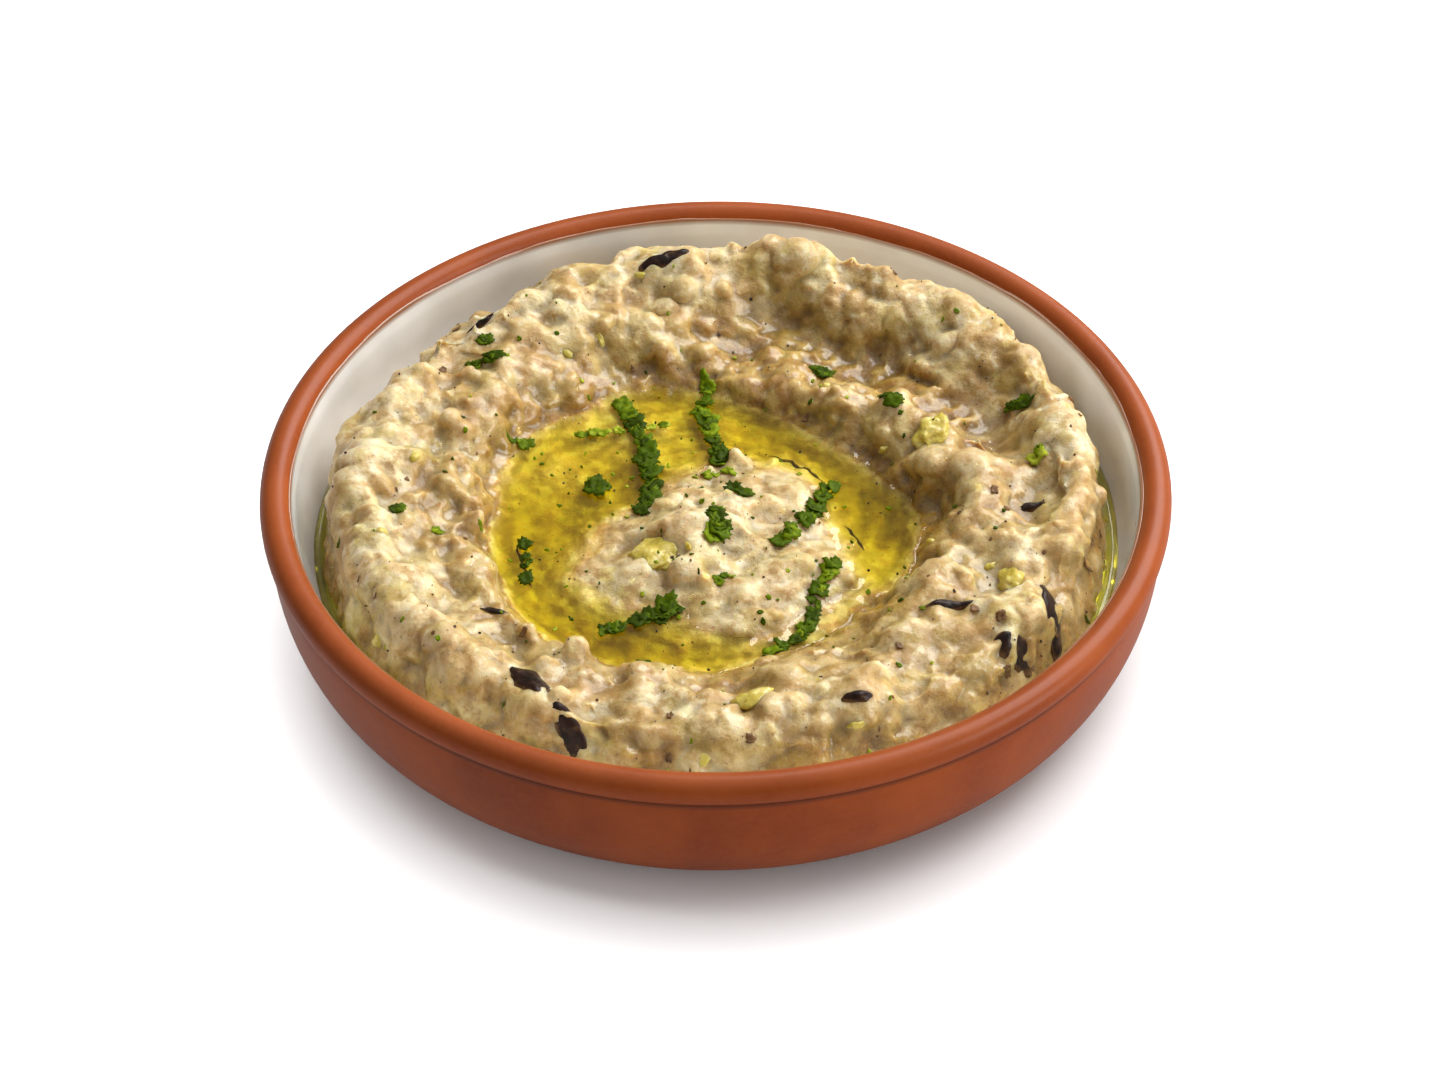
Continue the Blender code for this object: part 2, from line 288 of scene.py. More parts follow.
def ball(subdivisions):
    """Points and triangles of a unit sphere."""
    shape = bmesh.new()
    bmesh.ops.create_icosphere(shape, subdivisions=subdivisions, radius=1.0)
    points = np.array([vertex.co[:] for vertex in shape.verts])
    faces = np.array([[vertex.index for vertex in face.verts] for face in shape.faces])
    shape.free()
    return points, faces


def band_faces(rows, columns, closed):
    """Faces between rows of points; every row is a ring, and so is the lot of them where closed."""
    faces = []
    for row in range(rows if closed else rows - 1):
        here, following = row * columns, (row + 1) % rows * columns
        for column in range(columns):
            after = (column + 1) % columns
            faces.append((here + column, following + column, following + after, here + after))
    return faces


def ray_at(angle):
    return Vector((math.cos(angle), math.sin(angle), 0.0))


def lens_spots(rings, spokes):
    """The points of one side of a lens: spoke number, angle and share of the way out."""
    yield 0, 0.0, 0.0
    for ring in range(1, rings + 1):
        for spoke in range(spokes):
            yield spoke, spoke * math.tau / spokes, ring / rings


def lens_faces(rings, spokes, walled):
    """Faces of a thin round piece: rings of points about a middle one, above and then below.

    The two sides share the outermost ring, or have one each and a wall between where walled.
    """
    lower = 1 + rings * spokes
    last = lower - spokes
    faces = []
    for spoke in range(spokes):
        after = (spoke + 1) % spokes
        faces.append((0, 1 + spoke, 1 + after))
        faces.append((lower, lower + 1 + after, lower + 1 + spoke))
        for ring in range(rings - 1):
            here, outer = 1 + ring * spokes, 1 + (ring + 1) * spokes
            base = lower if walled or ring < rings - 2 else 0
            faces.append((here + spoke, outer + spoke, outer + after, here + after))
            faces.append((
                lower + here + spoke, lower + here + after,
                base + outer + after, base + outer + spoke,
            ))
        if walled:
            faces.append((last + spoke, lower + last + spoke, lower + last + after, last + after))
    return faces


class Heap:
    """Points, faces and tones of many shapes, gathered for one piece."""

    def __init__(self):
        self.points, self.faces, self.tones = [], [], []

    def add(self, points, faces, tone=0.0):
        first = len(self.points)
        self.faces.extend(tuple(int(corner) + first for corner in face) for face in faces)
        self.points.extend(points)
        self.tones.extend([tone] * len(points))

    def piece(self, name, attribute_name=None):
        item = mesh_object(name, self.points, self.faces)
        if attribute_name:
            store(item.data, attribute_name, self.tones)
        return item


def turned(name, profile, segments):
    """A closed piece turned round Z from (radius, height) points that start and end on the axis."""
    rims = np.array(profile[1:-1])
    angles = np.arange(segments) * math.tau / segments
    points = np.empty((len(rims), segments, 3))
    points[:, :, 0] = rims[:, :1] * np.cos(angles)
    points[:, :, 1] = rims[:, :1] * np.sin(angles)
    points[:, :, 2] = rims[:, 1:]
    points = points.reshape(-1, 3)
    first = len(points)
    points = np.vstack([points, (0.0, 0.0, profile[0][1]), (0.0, 0.0, profile[-1][1])])
    faces = band_faces(len(rims), segments, closed=False)
    last_ring = (len(rims) - 1) * segments
    for index in range(segments):
        after = (index + 1) % segments
        faces.append((first, index, after))
        faces.append((first + 1, last_ring + after, last_ring + index))
    return mesh_object(name, points, faces)


def finish_piece(piece, slot, material, *nodes):
    """Every piece rides on the one body, takes its material and may stand for CAD nodes; the slot is
    not used.
    """
    piece.data.materials.clear()
    piece.data.materials.append(material)
    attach(piece, BODY)
    if nodes:
        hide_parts(*nodes)


# ---------------------------------------------------------------- shader helpers

def new_material(name):
    material = bpy.data.materials.new(name)
    material.use_nodes = True
    return material, material.node_tree.nodes["Principled BSDF"]


def new_node(near, kind, inputs=()):
    """A node in the same tree as a node or socket that is there already."""
    node = near.id_data.nodes.new(kind)
    set_inputs(node, dict(inputs))
    return node


def set_inputs(node, values):
    """Sets inputs by name or number: an output is linked, anything else is set directly."""
    for key, value in values.items():
        if isinstance(value, bpy.types.NodeSocket):
            node.id_data.links.new(value, node.inputs[key])
        elif isinstance(value, tuple) and node.inputs[key].type == "RGBA":
            node.inputs[key].default_value = (*value, 1.0)
        else:
            node.inputs[key].default_value = value


def noise_node(coords, scale, detail=4.0, roughness=0.55):
    return new_node(coords, "ShaderNodeTexNoise", {
        "Vector": coords, "Scale": scale, "Detail": detail, "Roughness": roughness,
    }).outputs["Fac"]


def ramp_node(value, stops):
    node = new_node(value, "ShaderNodeValToRGB", {"Fac": value})
    ramp = node.color_ramp
    ramp.interpolation = "EASE"
    while len(ramp.elements) < len(stops):
        ramp.elements.new(0.5)
    for element, (place, colour) in zip(ramp.elements, stops):
        element.position = place
        element.color = (*colour, 1.0)
    return node.outputs["Color"]


def mix_colour(factor, first, second, blend="MIX"):
    node = new_node(factor, "ShaderNodeMix")
    node.data_type = "RGBA"
    node.blend_type = blend
    set_inputs(node, {"Factor": factor, 6: first, 7: second})
    return node.outputs[2]


def span_node(value, low, high, to_low=0.0, to_high=1.0):
    """A value mapped from one span to another, clamped."""
    return new_node(value, "ShaderNodeMapRange", {
        "Value": value, "From Min": low, "From Max": high, "To Min": to_low, "To Max": to_high,
    }).outputs["Result"]


def maths(operation, first, second):
    node = new_node(first, "ShaderNodeMath", {0: first, 1: second})
    node.operation = operation
    return node.outputs[0]


def own_coords(shader):
    return new_node(shader, "ShaderNodeTexCoord").outputs["Object"]


def height_of(coords):
    return new_node(coords, "ShaderNodeSeparateXYZ", {0: coords}).outputs["Z"]


def attribute(shader, name):
    node = new_node(shader, "ShaderNodeAttribute")
    node.attribute_name = name
    return node.outputs["Fac"]


def bump(shader, height, distance):
    node = new_node(shader, "ShaderNodeBump", {
        "Strength": 1.0, "Distance": distance, "Height": height,
    })
    set_inputs(shader, {"Normal": node.outputs["Normal"]})


# ---------------------------------------------------------------- dish

def outer_wall(share):
    turn = share * math.pi / 2
    radius = FOOT_RADIUS + OUTER_SPREAD * math.sin(turn)
    height = OUTER_RISE * (1 - max(math.cos(turn), 0.0) ** OUTER_POWER)
    return radius, height


def inner_radius(height):
    rise = np.clip((np.asarray(height, float) - INNER_FLOOR) / INNER_RISE, 0.0, 1.0)
    cosine = (1 - rise) ** (1 / INNER_POWER)
    return INNER_FLAT + INNER_SPREAD * np.sqrt(1 - cosine * cosine)


def inner_wall(bottom, top, count):
    points = []
    for index in range(count):
        share = index / (count - 1)
        height = bottom + (top - bottom) * share ** 1.6
        points.append((float(inner_radius(height)), height))
    return points


def lip_arc(sweep, steps):
    """Points round the rolled lip, from its inner side up and over by the sweep in degrees."""
    turns = [math.radians(180 - sweep * index / steps) for index in range(steps + 1)]
    return [
        (LIP_CENTRE_R + LIP_RADIUS * math.cos(turn), LIP_CENTRE_Z + LIP_RADIUS * math.sin(turn))
        for turn in turns
    ]


def make_dish():
    profile = [(0.0, INNER_FLOOR)]
    profile += inner_wall(INNER_FLOOR, WALL_TOP, 26)
    profile += lip_arc(240, 30)
    profile += [outer_wall(0.98 * index / 40) for index in range(40, -1, -1)]
    inside_foot = FOOT_RADIUS - FOOT_WIDTH
    profile += [(inside_foot, 0.0), (inside_foot - FOOT_RECESS, FOOT_RECESS), (0.0, FOOT_RECESS)]
    return turned("dish_body", profile, DISH_SEGMENTS)


def make_glaze():
    """A thin skin over the inside, up to a slightly wavering line on the lip."""
    path = np.array(inner_wall(GLAZE_BOTTOM, WALL_TOP, 22) + lip_arc(24, 8))
    along = np.gradient(path, axis=0)
    along /= np.linalg.norm(along, axis=1)[:, None]
    inward = np.column_stack([-along[:, 1], along[:, 0]])
    share = np.linspace(0.0, 1.0, len(path))
    edge = np.sqrt(np.clip(1 - ((share - 0.9) / 0.1).clip(0) ** 2, 0, 1))
    skin = path + inward * (GLAZE * edge)[:, None]
    back = path - inward * GLAZE_INSIDE
    loop = np.vstack([skin, back[::-1]])
    near_edge = np.concatenate([share, share[::-1]]) ** 12
    points = np.empty((DISH_SEGMENTS, len(loop), 3))
    for index in range(DISH_SEGMENTS):
        ray = ray_at(index * math.tau / DISH_SEGMENTS)
        waver = 0.5 * MM * noise.noise(ray * 4.0) + 0.16 * MM * noise.noise(ray * 19.0)
        points[index, :, 0] = loop[:, 0] * ray.x
        points[index, :, 1] = loop[:, 0] * ray.y
        points[index, :, 2] = loop[:, 1] + waver * near_edge
    faces = band_faces(DISH_SEGMENTS, len(loop), closed=True)
    glaze = mesh_object("dish_glaze", points.reshape(-1, 3), faces)
    make_outward(glaze.data)
    return glaze


# ---------------------------------------------------------------- dip

def stamped(points, faces, centres, shapes):
    """Copies of one ball, each shaped by its own matrix and moved to its own centre."""
    placed = np.einsum("nij,pj->npi", shapes, points) + centres[:, None, :]
    offsets = np.arange(len(centres))[:, None, None] * len(points)
    return placed.reshape(-1, 3), (faces[None] + offsets).reshape(-1, 3)


def random_turns(rng, count):
    """Random rotation matrices."""
    turns, _ = np.linalg.qr(rng.normal(size=(count, 3, 3)))
    return turns


def scattered(rng, mesh, count):
    """Points on the dip's upper side, spread evenly over its area, with their normals."""
    points = points_of(mesh)
    corners = points[triangles_of(mesh)]
    cross = np.cross(corners[:, 1] - corners[:, 0], corners[:, 2] - corners[:, 0])
    size = np.linalg.norm(cross, axis=1)
    normals = cross / np.maximum(size, 1e-12)[:, None]
    upper = (normals[:, 2] > 0.02) & (corners[:, :, 2].mean(axis=1) > DIP_CUT)
    weights = size * upper
    chosen = rng.choice(len(corners), size=count, p=weights / weights.sum())
    first, second = rng.random((2, count))
    flip = first + second > 1
    first[flip], second[flip] = 1 - first[flip], 1 - second[flip]
    corner = corners[chosen]
    places = corner[:, 0] + first[:, None] * (corner[:, 1] - corner[:, 0])
    places += second[:, None] * (corner[:, 2] - corner[:, 0])
    return places, normals[chosen]


def make_lumps(base):
    """Soft ellipsoids of three sizes, sunk into the dip's skin."""
    rng = np.random.default_rng(7)
    all_points, all_faces, centres, sizes = [], [], [], []
    offset = 0
    for count, low, high, stand, subdivisions in LUMPS:
        ball_points, ball_faces = ball(subdivisions)
        places, normals = scattered(rng, base, count)
        radius = rng.uniform(low, high, count) * MM
        under_oil = np.clip((OIL_LEVEL + 1.5 * MM - places[:, 2]) / (3.0 * MM), 0, 1)
        radius *= 1 - 0.35 * under_oil
        stretch = np.column_stack([
            rng.uniform(0.9, 1.35, count),
            rng.uniform(0.7, 1.0, count),
            rng.uniform(0.6, 0.9, count),
        ])
        turns = random_turns(rng, count)
        shapes = turns * (radius[:, None] * stretch)[:, None, :]
        sink = radius * (stand - 0.75 + rng.uniform(-0.2, 0.2, count) - 0.2 * under_oil)
        middle = places + normals * sink[:, None]
        clear = outside_scraps(middle) & (rng.random(count) > 0.6 * under_oil)
        middle, shapes, radius = middle[clear], shapes[clear], radius[clear]
        points, faces = stamped(ball_points, ball_faces, middle, shapes)
        all_points.append(points)
        all_faces.append(faces + offset)
        offset += len(points)
        centres.append(middle)
        sizes.append(radius)
    return np.vstack(all_points), np.vstack(all_faces), np.vstack(centres), np.concatenate(sizes)


def outside_scraps(places):
    """True for the places no scrap of skin or soft chunk lies on."""
    clear = np.ones(len(places), bool)
    for x, y, length, width, _, turn in SKINS + CHUNKS:
        turn = math.radians(turn)
        across = places[:, :2] / MM - (x, y)
        along = across[:, 0] * math.cos(turn) + across[:, 1] * math.sin(turn)
        beside = across[:, 1] * math.cos(turn) - across[:, 0] * math.sin(turn)
        clear &= (along / (length * 0.36)) ** 2 + (beside / (width * 0.36)) ** 2 > 1.0
    return clear


def kept_in_dish(points):
    """The dish's wall flattens what presses on it."""
    radius = np.hypot(points[:, 0], points[:, 1])
    limit = inner_radius(points[:, 2]) - GLAZE - DIP_CLEARANCE
    shrink = np.minimum(limit / np.maximum(radius, 1e-9), 1.0)
    points[:, 0] *= shrink
    points[:, 1] *= shrink
    return points


def cut_underside(mesh):
    """Drops what lies below DIP_CUT and closes it with a plain underside that fills the dish."""
    with editing(mesh) as shape:
        bmesh.ops.triangulate(shape, faces=shape.faces[:])
        everything = shape.verts[:] + shape.edges[:] + shape.faces[:]
        bmesh.ops.bisect_plane(
            shape, geom=everything, plane_co=(0, 0, DIP_CUT), plane_no=(0, 0, -1), clear_outer=True,
        )
        rim = [edge for edge in shape.edges if edge.is_boundary]
        for height in UNDERSIDE_HEIGHTS:
            made = bmesh.ops.extrude_edge_only(shape, edges=rim)["geom"]
            radius = float(inner_radius(height)) - UNDERSIDE_GAP
            for vertex in (item for item in made if isinstance(item, bmesh.types.BMVert)):
                flat = Vector((vertex.co.x, vertex.co.y, 0.0)).normalized() * radius
                vertex.co = (flat.x, flat.y, height)
            rim = [item for item in made if isinstance(item, bmesh.types.BMEdge)]
        bmesh.ops.contextual_create(shape, geom=rim)
        bmesh.ops.recalc_face_normals(shape, faces=shape.faces)
    put_in_order(mesh)


def roughened(points, normals):
    """Soft swells, rounded clods and fine unevenness, pushed out along the normals."""
    calm = np.clip((points[:, 2] - OIL_LEVEL) / (4.0 * MM), 0.0, 1.0)
    moved = points.copy()
    for index, (point, normal) in enumerate(zip(points, normals)):
        place = Vector(point) / MM
        place += 1.1 * noise.noise_vector(place / 2.6)
        push = 0.0
        for wave, height in SWELLS:
            share = 0.3 + 0.7 * calm[index] if wave > 3.0 else 1.0
            push += share * height * noise.noise(place / wave)
        for wave, height in CLODS:
            share = 0.6 + 0.4 * calm[index]
            push += share * height * (abs(noise.noise(place / wave)) ** 0.8 - 0.3)
        moved[index] += normal * push * MM
    return moved


def store(mesh, name, values):
    layer = mesh.attributes.new(name, "FLOAT", "POINT")
    layer.data.foreach_set("value", np.asarray(values, np.float32))


def nearest_lump_tones(points, centres, sizes):
    """For each point, the tone of the lump it lies on, or of the first lump where none is near."""
    lump_tone = np.random.default_rng(11).random(len(centres))
    lumps = KDTree(len(centres))
    for index, centre in enumerate(centres):
        lumps.insert(centre, index)
    lumps.balance()
    tone = np.empty(len(points))
    for index, point in enumerate(points):
        near = [(distance / sizes[lump], lump) for _, lump, distance in lumps.find_n(point, 5)]
        tone[index] = lump_tone[min(near + [(9.0, 0)])[1]]
    return tone


def mark_dip(mesh, centres, sizes):
    """Stores what the dip's finish reads: the lumps' tones, crevices, oil with painted shade, and
    the oil's dark streaks.
    """
    points = points_of(mesh)
    edges = edges_of(mesh)
    smooth = relaxed(points, edges, 14)
    depth = np.einsum("ij,ij->i", smooth - points, normals_of(mesh)) / MM
    depth = relaxed(depth[:, None], edges, 1)[:, 0]
    store(mesh, "crevice", np.clip(0.5 + depth / 0.9, 0, 1))

    tone = relaxed(nearest_lump_tones(points, centres, sizes)[:, None], edges, 2)[:, 0]
    spots = points / MM
    above = (points[:, 2] - OIL_LEVEL) / MM
    radius = np.hypot(points[:, 0], points[:, 1]) / MM
    # Shares from 0 to 1: on the island, inside the ring's crest, and on its outer slope
    island = np.clip((28 - np.hypot(spots[:, 0] - 1, spots[:, 1] + 9)) / 4, 0, 1)
    near = np.clip((59 - radius) / 8, 0, 1)
    outside = np.clip((radius - 60) / 6, 0, 1)
    creep = 0.5 * np.exp(-np.clip(above, 0, None) / 0.8)
    # Painted shade with some oil: the darkening climbs the ring's inner slopes up to 11.5 mm over
    # the pool
    creep = np.maximum(creep, (1 - island) * np.clip(1.1 - above / 11.5, 0, 1))
    # Painted shade with seeping oil: the outer slope darkens towards the dish's wall, reaching
    # higher at the front
    fronting = np.clip(-points[:, 1] / np.maximum(radius * MM, MM), 0, 1)
    patchy = np.array([0.9 + 1.3 * noise.noise(Vector(point) / (6.0 * MM)) for point in points])
    wall_shade_and_oil = outside * patchy.clip(0, 1)
    wall_shade_and_oil *= np.clip((33 + 3 * fronting - points[:, 2] / MM) / 6, 0, 1)
    store(mesh, "oil_and_shade", np.where(above < -0.3, wall_shade_and_oil, np.maximum(creep * near, wall_shade_and_oil)))
    store(mesh, "sunk", np.clip(-above / 0.8, 0, 1) * near)
    swirl = np.empty(len(points))
    for index, (x, y, _) in enumerate(spots):
        far = math.hypot(x, y)
        ray = Vector((x, y, 0.0)) * (2.4 / max(far, 1.0))
        swirl[index] = noise.noise(Vector((ray.x, ray.y, far / 1.7)))
        swirl[index] += 0.4 * noise.noise(Vector((x, y, 9.0)) / 1.5)
    streak = np.clip((swirl - 0.08) / 0.3, 0, 1) * np.clip((1.5 - above) / 1.5, 0, 1) * near
    store(mesh, "streak", streak)
    store(mesh, "tone", tone + island * np.clip(above / 1.5, 0, 1) * 0.45 * (0.9 - tone))


def drop_strays(mesh):
    """Deletes faces that hang together with one other face at most."""
    with editing(mesh) as shape:
        strays = [
            face for face in shape.faces
            if len({other for edge in face.edges for other in edge.link_faces}) <= 2
        ]
        bmesh.ops.delete(shape, geom=strays, context="FACES")


def dip_core():
    """A copy of the dip's solid, its split corners joined and its skin drawn in by DIP_SINK."""
    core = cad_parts["dip"].data.copy()
    with editing(core) as shape:
        bmesh.ops.remove_doubles(shape, verts=shape.verts, dist=0.02 * MM)
    set_points(core, points_of(core) - normals_of(core) * DIP_SINK)
    return core


def make_dip():
    """The lumps blended into the solid's skin, roughened, thinned to DIP_FACES and marked."""
    lump_points, lump_faces, centres, sizes = make_lumps(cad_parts["dip"].data)
    core = dip_core()
    points = np.vstack([points_of(core), lump_points])
    faces = np.vstack([triangles_of(core), lump_faces + len(core.vertices)])
    dip = mesh_object("dip_skin", points, faces)
    remesh = dip.modifiers.new("blend", "REMESH")
    remesh.mode = "VOXEL"
    remesh.voxel_size = DIP_VOXEL
    with_modifiers(dip)
    mesh = dip.data
    cut_underside(mesh)
    edges = edges_of(mesh)
    points = points_of(mesh)
    upper = (points[:, 2] > DIP_CUT + 0.3 * MM)[:, None]
    points = np.where(upper, relaxed(points, edges, DIP_ROUNDS), points)
    set_points(mesh, points)
    broad_normals = relaxed(normals_of(mesh), edges, 8)
    points = np.where(upper, roughened(points, broad_normals), points)
    points = np.where(upper, relaxed(points, edges, DIP_SOFTENING), points)
    # Thinned at a thousand times its size, where errors are large enough to rank alike each run
    set_points(mesh, kept_in_dish(points) / MM)
    thin = dip.modifiers.new("thin", "DECIMATE")
    thin.ratio = min(1.0, DIP_FACES / len(triangles_of(mesh)))
    with_modifiers(dip)
    set_points(dip.data, points_of(dip.data) * MM)
    drop_strays(dip.data)
    dip.data.shade_smooth()
    mark_dip(dip.data, centres, sizes)
    return dip


class Ground:
    """What lies on top at a place, seen from above."""

    def __init__(self, *items):
        points, faces = [], []
        for item in items:
            faces.extend((triangles_of(item.data) + len(points)).tolist())
            points.extend(points_of(item.data).tolist())
        self.tree = BVHTree.FromPolygons(points, faces)

    def height(self, x, y):
        place = self.tree.ray_cast(Vector((x, y, ABOVE_ALL)), Vector((0.0, 0.0, -1.0)))[0]
        return place.z if place else OIL_LEVEL

    def soft_height(self, x, y, reach):
        """The mean height round a place."""
        total = self.height(x, y)
        for step in range(6):
            angle = step * math.tau / 6
            total += self.height(x + reach * math.cos(angle), y + reach * math.sin(angle))
        return total / 7

    def normal(self, x, y, reach):
        slope_x = self.height(x + reach, y) - self.height(x - reach, y)
        slope_y = self.height(x, y + reach) - self.height(x, y - reach)
        return Vector((-slope_x, -slope_y, 2 * reach)).normalized()


# ---------------------------------------------------------------- oil

def make_oil(dip):
    """A slab whose underside is sunk a little into the dip, so that no air is left between."""
    ground = Ground(dip)
    half = int(POOL_REACH / POOL_STEP)
    floor = {}
    for column in range(-half, half + 1):
        for row in range(-half, half + 1):
            x, y = column * POOL_STEP, row * POOL_STEP
            if math.hypot(x, y) < POOL_REACH:
                floor[column, row] = ground.height(x, y)
    wet = largest_patch({key for key, height in floor.items() if height < OIL_LEVEL + POOL_CLIMB})
    cells = {cell for cell in wet if set(corners_of(cell)) <= wet}
    cells = sorted(largest_patch(without_corner_contacts(cells)))
    numbers = {}
    points, faces, rim = [], [], {}
    for cell in cells:
        for corner in corners_of(cell):
            if corner in numbers:
                continue
            numbers[corner] = len(points) // 2
            x, y = corner[0] * POOL_STEP, corner[1] * POOL_STEP
            below = floor[corner] - POOL_SINK
            depth = OIL_LEVEL - floor[corner]
            place = Vector((x, y, 0.0))
            ripple = 0.05 * noise.noise(place / (3.4 * MM)) + 0.05 * noise.noise(place / (7.5 * MM))
            clinging = 0.12 + 0.2 * noise.noise(place / (2.1 * MM))
            creep = max(clinging, 0.0) * math.exp(-max(depth, 0.0) / (0.5 * MM))
            top = max(OIL_LEVEL + (ripple + creep) * MM, below + 0.05 * MM)
            points += [(x, y, top), (x, y, below)]
        ring = [numbers[corner] for corner in corners_of(cell)]
        faces.append([2 * index for index in ring])
        faces.append([2 * index + 1 for index in reversed(ring)])
        for start, end in zip(ring, ring[1:] + ring[:1]):
            if rim.pop((end, start), None) is None:
                rim[start, end] = True
    faces.extend((2 * start + 1, 2 * end + 1, 2 * end, 2 * start) for start, end in rim)
    return mesh_object("pool_of_oil", points, faces)


def corners_of(cell):
    column, row = cell
    return (column, row), (column + 1, row), (column + 1, row + 1), (column, row + 1)


def largest_patch(cells):
    """The biggest connected group of grid cells."""
    left = set(cells)
    best = set()
    while left:
        group, queue = set(), [left.pop()]
        while queue:
            column, row = queue.pop()
            group.add((column, row))
            for near in ((column + 1, row), (column - 1, row), (column, row + 1), (column, row - 1)):
                if near in left:
                    left.remove(near)
                    queue.append(near)
        if len(group) > len(best):
            best = group
    return best


def without_corner_contacts(cells):
    """Drops cells that meet another by a corner only, where the slab's walls would share a line."""
    while True:
        touching = set()
        for column, row in cells:
            for side in (1, -1):
                if (column + side, row + 1) in cells:
                    if (column + side, row) not in cells and (column, row + 1) not in cells:
                        touching.add((column, row))
        if not touching:
            return cells
        cells -= touching


def make_seep():
    """Oil that has crept down between the dip and the dish, thickest at both sides."""
    steps, sides = 220, 14
    points = []
    for step in range(steps):
        angle = step * math.tau / steps
        ray = ray_at(angle)
        swell = 0.5 + 0.5 * noise.noise(ray * 3.0 + Vector((4.0, 0.0, 0.0)))
        beside = max(math.cos(angle - math.radians(200)), math.cos(angle - math.radians(335)), 0.0)
        bead = (0.8 + 1.6 * swell * (0.3 + 0.7 * beside)) * MM
        height = 19.0 * MM + 0.3 * bead
        radius = float(inner_radius(height)) - GLAZE - 0.35 * bead
        for side in range(sides):
            turn = side * math.tau / sides
            reach = radius + bead * math.cos(turn)
            rise = height + 0.8 * bead * math.sin(turn)
            reach = min(reach, float(inner_radius(rise)) - 0.1 * MM)
            points.append((reach * ray.x, reach * ray.y, rise))
    seep = mesh_object("oil_seep", points, band_faces(steps, sides, closed=True))
    make_outward(seep.data)
    return seep


def scatter_places(rng, dip, count, weigh):
    """Places on the dip's upper side, thinned by a weight that depends on the place."""
    places, normals = scattered(rng, dip.data, count * 6)
    kept = rng.random(len(places)) < weigh(places)
    return places[kept][:count], normals[kept][:count]


def make_beads(dip):
    """Small drops of oil on the dip."""
    rng = np.random.default_rng(29)

    def near_pool(places):
        return np.exp(-np.abs(np.hypot(places[:, 0], places[:, 1]) / MM - 33) / 12)

    places, normals = scatter_places(rng, dip, DROPS, near_pool)
    radius = rng.uniform(0.25, 0.75, len(places)) * MM
    shapes = np.zeros((len(places), 3, 3))
    for index, size in enumerate(radius):
        turn = Vector((0, 0, 1)).rotation_difference(Vector(normals[index])).to_matrix()
        shapes[index] = np.array(turn) @ np.diag([size, size * rng.uniform(0.7, 1.0), size * 0.5])
    return mesh_object("oil_drops", *stamped(*ball(2), places, shapes))


# ---------------------------------------------------------------- scraps

def make_flake(name, ground, scrap, seed):
    """A torn scrap of skin, wrinkled and curled, its edges partly sunk into the dip."""
    x, y, length, width, height, turn = scrap
    rings, spokes = 10, 48
    turn = math.radians(turn)
    shift = Vector((seed * 3.7, seed * 1.3, 0.0))
    tops, bottoms, shares = [], [], []
    for _, angle, share in lens_spots(rings, spokes):
        ray = ray_at(angle)
        torn = 1.08 + 0.25 * noise.noise(ray * 1.2 + shift) + 0.06 * noise.noise(ray * 4.5 + shift)
        along = ray.x * share * length / 2 * torn
        beside = ray.y * share * width / 2 * torn * 0.75
        px = (x + along * math.cos(turn) - beside * math.sin(turn)) * MM
        py = (y + along * math.sin(turn) + beside * math.cos(turn)) * MM
        place = Vector((along, beside, 0.0))
        wrinkle = 0.4 * noise.noise(place / 2.2 + shift) + 0.16 * noise.noise(place / 0.9 + shift)
        curl = 0.8 * share ** 4 * (noise.noise(ray * 1.2 - shift) - 0.55)
        dome = 0.6 * height * (1 - share ** 3)
        top = ground.soft_height(px, py, 1.3 * MM) + (wrinkle + curl + dome - 0.05) * MM
        tops.append((px, py, top))
        shares.append(share)
        bottoms.append((px, py, top - 0.55 * MM * (1 - share ** 5)))
    flake = mesh_object(name, tops + bottoms[:-spokes], lens_faces(rings, spokes, walled=False))
    store(flake.data, "rim", shares + shares[:-spokes])
    return flake


def make_threads(ground):
    """Thin wavering threads of skin, half sunk into the dip."""
    steps, sides = 48, 4
    heap = Heap()
    for number, path in enumerate(THREADS):
        shift = Vector((number * 7.3, 2.0, 0.4))
        points = []
        for step in range(steps):
            share = step / (steps - 1)
            x, y = along_path(path, share)
            ahead = along_path(path, min(share + 0.05, 1.0))
            behind = along_path(path, max(share - 0.05, 0.0))
            heading = math.atan2(ahead[1] - behind[1], ahead[0] - behind[0])
            place = Vector((x, y, 0.0)) + shift
            waver = 0.7 * noise.noise(place / 1.9)
            half = 0.8 + 0.9 * noise.noise(place / 1.1)
            half = THREAD_HALF_WIDTH * half * min(1.0, 5 * share, 5 - 5 * share) + 0.02
            middle_x, middle_y = x - waver * math.sin(heading), y + waver * math.cos(heading)
            top = ground.soft_height(middle_x * MM, middle_y * MM, 0.5 * MM) + 0.1 * MM
            for across, rise in ((half, -0.1), (0.0, 0.12), (-half, -0.1), (0.0, -0.4)):
                px, py = middle_x - across * math.sin(heading), middle_y + across * math.cos(heading)
                points.append((px * MM, py * MM, top + rise * MM))
        end = (steps - 1) * sides
        caps = [range(sides), range(end + sides - 1, end - 1, -1)]
        heap.add(points, band_faces(steps, sides, closed=False) + caps, tone=0.8)
    threads = heap.piece("skin_threads", "rim")
    make_outward(threads.data)
    return threads


